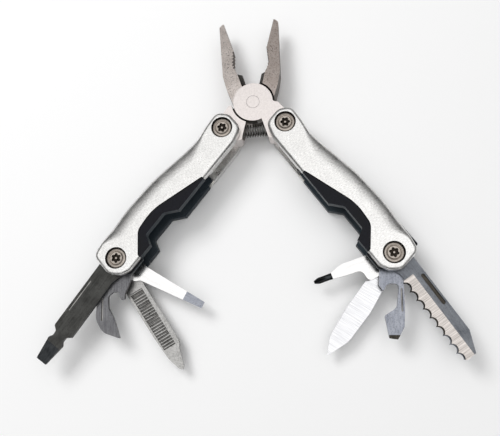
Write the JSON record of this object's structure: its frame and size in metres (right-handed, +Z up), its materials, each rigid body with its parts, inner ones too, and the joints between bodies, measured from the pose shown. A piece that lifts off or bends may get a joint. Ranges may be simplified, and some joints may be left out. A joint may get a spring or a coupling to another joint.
{
  "type": "pliers multi tool",
  "caption": "Pocket pliers multi tool, opened: sprung lap-joint pliers between two folding handles that hold a saw, knife, file, openers and screwdrivers.",
  "frame": {"origin": "middle of the opened tool's bounding box, on the flat surface that it lies on", "axes": "+X across the two handles towards the right one, +Y from the tools to the jaws, +Z up out of the face that is seen"},
  "size_m": [0.1504, 0.13, 0.016],
  "materials": {
    "aluminium": "bead-blasted, matt silver",
    "black_plastic": "satin moulded, blue-black",
    "screw_steel": "satin, warm grey-brown",
    "pliers_steel": "fine cast and ground, warm light grey",
    "spring_steel": "bright drawn wire",
    "dark_steel": "dark satin",
    "grey_steel": "mid grey satin",
    "blade_steel": "bright, brushed across the grind"
  },
  "bodies": {
    "front_pliers": {"front_jaw": "pliers_steel", "rivet": "pliers_steel", "coil_spring": "spring_steel"},
    "rear_pliers": {"rear_jaw": "pliers_steel"},
    "right_handle": {"right_front_scale": "aluminium", "right_rear_scale": "aluminium", "right_front_insert": "black_plastic", "right_rear_insert": "black_plastic", "right_back_springs": "black_plastic", "right_jaw_end_screw": "screw_steel", "right_jaw_end_sleeve_nut": "screw_steel", "right_tool_end_screw": "screw_steel", "right_tool_end_sleeve_nut": "screw_steel"},
    "left_handle": {"left_front_scale": "aluminium", "left_rear_scale": "aluminium", "left_front_insert": "black_plastic", "left_rear_insert": "black_plastic", "left_back_springs": "black_plastic", "left_jaw_end_screw": "screw_steel", "left_jaw_end_sleeve_nut": "screw_steel", "left_tool_end_screw": "screw_steel", "left_tool_end_sleeve_nut": "screw_steel"},
    "saw": {"saw": "blade_steel"},
    "bottle_opener": {"bottle_opener": "grey_steel"},
    "phillips_driver": {"phillips_driver": "grey_steel"},
    "knife": {"knife": "blade_steel"},
    "long_driver": {"long_driver": "dark_steel"},
    "can_opener": {"can_opener": "dark_steel"},
    "small_driver": {"small_driver": "blade_steel"},
    "file": {"file": "grey_steel"}
  },
  "joints": [
    {"name": "jaw_close", "type": "hinge", "parent": "front_pliers", "child": "rear_pliers", "pos_m": [0.00166, 0.0313, 0.008], "axis": [0, 0, 1], "range_deg": [0, 31.2], "stiffness_Nm_per_rad": 0.1, "springref_deg": -20.05, "deforming": ["coil_spring"]},
    {"name": "right_handle_fold", "type": "hinge", "parent": "front_pliers", "child": "right_handle", "pos_m": [0.01366, 0.02165, 0.008], "axis": [0, 0, 1], "range_deg": [0, 160.24]},
    {"name": "left_handle_fold", "type": "hinge", "parent": "rear_pliers", "child": "left_handle", "pos_m": [-0.00919, 0.02037, 0.008], "axis": [0, 0, -1], "range_deg": [-7.69, 152.55]},
    {"name": "saw_fold", "type": "hinge", "parent": "right_handle", "child": "saw", "pos_m": [0.0499, -0.02617, 0.008], "axis": [0, 0, -1], "range_deg": [-2.6, 174.2]},
    {"name": "bottle_opener_fold", "type": "hinge", "parent": "right_handle", "child": "bottle_opener", "pos_m": [0.0499, -0.02617, 0.008], "axis": [0, 0, -1], "range_deg": [-37.2, 142.2]},
    {"name": "phillips_driver_fold", "type": "hinge", "parent": "right_handle", "child": "phillips_driver", "pos_m": [0.0499, -0.02617, 0.008], "axis": [0, 0, -1], "range_deg": [-107.7, 72.3]},
    {"name": "knife_fold", "type": "hinge", "parent": "right_handle", "child": "knife", "pos_m": [0.0499, -0.02617, 0.008], "axis": [0, 0, -1], "range_deg": [-70.9, 105.1]},
    {"name": "long_driver_fold", "type": "hinge", "parent": "left_handle", "child": "long_driver", "pos_m": [-0.0465, -0.02661, 0.008], "axis": [0, 0, 1], "range_deg": [-2.6, 174.2]},
    {"name": "can_opener_fold", "type": "hinge", "parent": "left_handle", "child": "can_opener", "pos_m": [-0.0465, -0.02661, 0.008], "axis": [0, 0, 1], "range_deg": [-39.8, 143.7]},
    {"name": "small_driver_fold", "type": "hinge", "parent": "left_handle", "child": "small_driver", "pos_m": [-0.0465, -0.02661, 0.008], "axis": [0, 0, 1], "range_deg": [-100.9, 79.1]},
    {"name": "file_fold", "type": "hinge", "parent": "left_handle", "child": "file", "pos_m": [-0.0465, -0.02661, 0.008], "axis": [0, 0, 1], "range_deg": [-69, 104.5]}
  ]
}
